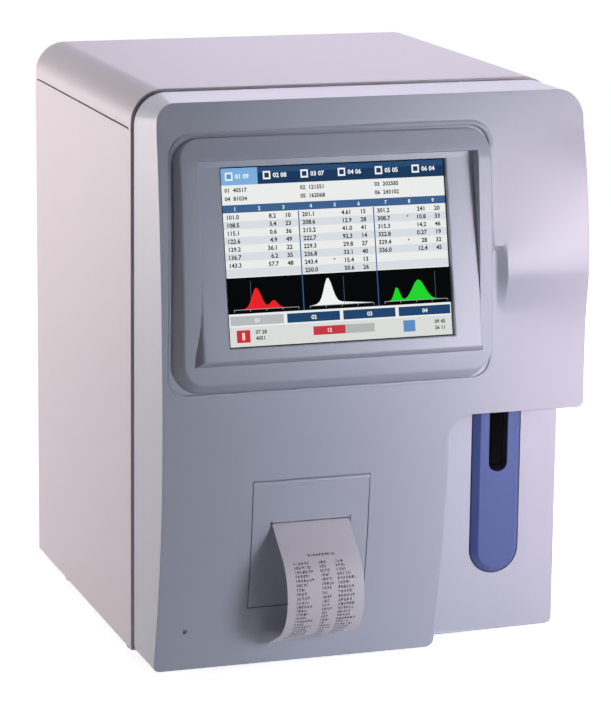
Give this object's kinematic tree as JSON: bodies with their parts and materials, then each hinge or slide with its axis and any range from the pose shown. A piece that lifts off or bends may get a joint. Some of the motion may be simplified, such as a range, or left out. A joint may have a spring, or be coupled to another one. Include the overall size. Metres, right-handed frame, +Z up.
{
  "type": "portable hematology analyzer",
  "caption": "Benchtop blood cell analyzer with a tilted screen, a strip printer behind a small door, and a sample bay with a press key and a travelling probe.",
  "frame": {"origin": "middle of the footprint, on the table under the feet", "axes": "+Z up, -Y to the front with the screen, +X to the right as seen from the front"},
  "size_m": [0.323, 0.4052, 0.42],
  "materials": {
    "casing_paint": "fine-textured powder coat",
    "fascia_plastic": "satin moulded",
    "key_plastic": "satin moulded",
    "screen_glass": "clear polished",
    "screen_lit": "lit display",
    "paper": "thermal paper",
    "steel": "ground",
    "sheet_steel": "zinc plated and passivated",
    "aluminium": "milled",
    "black_plastic": "moulded",
    "white_plastic": "moulded",
    "rubber": "moulded",
    "board": "solder mask",
    "brass": "turned",
    "clear_barrel": "ground bore",
    "led": "lens"
  },
  "bodies": {
    "root": {"base_plate": "sheet_steel", "left_side_panel": "casing_paint", "right_side_panel": "casing_paint", "top_cover": "casing_paint", "rear_panel": "casing_paint", "front_frame": "sheet_steel", "front_fascia": "fascia_plastic", "screen_surround": "fascia_plastic", "screen_panel": "fascia_plastic", "touch_glass": "screen_glass", "lcd_module": "screen_lit", "display_board": "board", "door_hinge_pin": "steel", "roll_spindle": "white_plastic", "printer_frame": "aluminium", "print_head": "aluminium", "printer_motor": "aluminium", "key_hinge_pins": "steel", "key_bracket": "aluminium", "key_spring": "steel", "key_switch": "black_plastic", "power_led": "led", "feet": "rubber", "probe_frame": "aluminium", "guide_rods": "steel", "y_motor": "aluminium", "bath_stand": "aluminium", "wbc_bath": "white_plastic", "rbc_bath": "white_plastic", "syringe_bracket": "aluminium", "syringe_barrels": "clear_barrel", "syringe_motor": "aluminium", "valve_bank": "white_plastic", "vacuum_pump": "aluminium", "main_board": "board", "power_supply": "aluminium", "fan_frame": "black_plastic", "fan_guard": "steel", "power_inlet": "black_plastic", "rear_ports": "brass", "casing_screws": "steel"},
    "door": {"printer_door": "fascia_plastic", "paper_strip": "paper"},
    "platen": {"platen_roller": "rubber", "platen_gear": "white_plastic"},
    "pinion": {"motor_pinion": "brass"},
    "roll": {"paper_roll": "paper"},
    "key": {"aspirate_key": "key_plastic"},
    "carriage": {"probe_carriage": "aluminium", "wash_block": "white_plastic", "z_rod": "steel", "z_motor": "aluminium"},
    "probe": {"probe_holder": "black_plastic", "probe_needle": "steel"},
    "y_screw": {"y_screw": "steel"},
    "z_screw": {"z_screw": "steel"},
    "plunger": {"syringe_plungers": "steel"},
    "syringe_screw": {"syringe_screw": "steel"},
    "fan": {"fan_rotor": "black_plastic"},
    "rocker": {"rocker_switch": "black_plastic"}
  },
  "joints": [
    {"name": "door_hinge", "type": "hinge", "parent": "root", "child": "door", "pos_m": [-0.04935, -0.16574, 0.1461], "axis": [-1, 0, 0], "range_deg": [0, 90]},
    {"name": "platen_spin", "type": "hinge", "parent": "root", "child": "platen", "pos_m": [-0.04935, -0.15191, 0.119], "axis": [1, 0, 0], "continuous": true},
    {"name": "pinion_spin", "type": "hinge", "parent": "root", "child": "pinion", "pos_m": [-0.04935, -0.15191, 0.1334], "axis": [1, 0, 0], "continuous": true},
    {"name": "roll_spin", "type": "hinge", "parent": "root", "child": "roll", "pos_m": [-0.04935, -0.12742, 0.0843], "axis": [1, 0, 0], "continuous": true},
    {"name": "key_press", "type": "hinge", "parent": "root", "child": "key", "pos_m": [0.1125, -0.11917, 0.195], "axis": [1, 0, 0], "range_deg": [0, 1.6], "stiffness_Nm_per_rad": 4, "springref_deg": -1.72, "deforming": ["key_spring"]},
    {"name": "probe_y", "type": "slide", "parent": "root", "child": "carriage", "axis": [0, -1, 0], "range_m": [0, 0.075]},
    {"name": "probe_z", "type": "slide", "parent": "carriage", "child": "probe", "axis": [0, 0, -1], "range_m": [0, 0.045]},
    {"name": "y_screw_spin", "type": "hinge", "parent": "root", "child": "y_screw", "pos_m": [0.1435, -0.01142, 0.304], "axis": [0, 1, 0], "range_deg": [0, 2250]},
    {"name": "z_screw_spin", "type": "hinge", "parent": "carriage", "child": "z_screw", "pos_m": [0.1125, -0.05742, 0.206], "axis": [0, 0, 1], "range_deg": [0, 1350]},
    {"name": "plunger_slide", "type": "slide", "parent": "root", "child": "plunger", "axis": [0, 0, -1], "range_m": [0, 0.03]},
    {"name": "syringe_screw_spin", "type": "hinge", "parent": "root", "child": "syringe_screw", "pos_m": [-0.02, -0.04942, 0.106], "axis": [0, 0, 1], "range_deg": [0, 900]},
    {"name": "fan_spin", "type": "hinge", "parent": "root", "child": "fan", "pos_m": [-0.06, 0.18558, 0.336], "axis": [0, 1, 0], "continuous": true},
    {"name": "power_rocker", "type": "hinge", "parent": "root", "child": "rocker", "pos_m": [0.056, 0.18458, 0.056], "axis": [1, 0, 0], "range_deg": [0, 14]}
  ],
  "couplings": [
    {"joint": "pinion_spin", "follows": "platen_spin", "ratio": -2},
    {"joint": "roll_spin", "follows": "platen_spin", "ratio": -0.2619},
    {"joint": "y_screw_spin", "follows": "probe_y", "rad_per_m": 523.6},
    {"joint": "z_screw_spin", "follows": "probe_z", "rad_per_m": 523.6},
    {"joint": "syringe_screw_spin", "follows": "plunger_slide", "rad_per_m": 523.6}
  ]
}
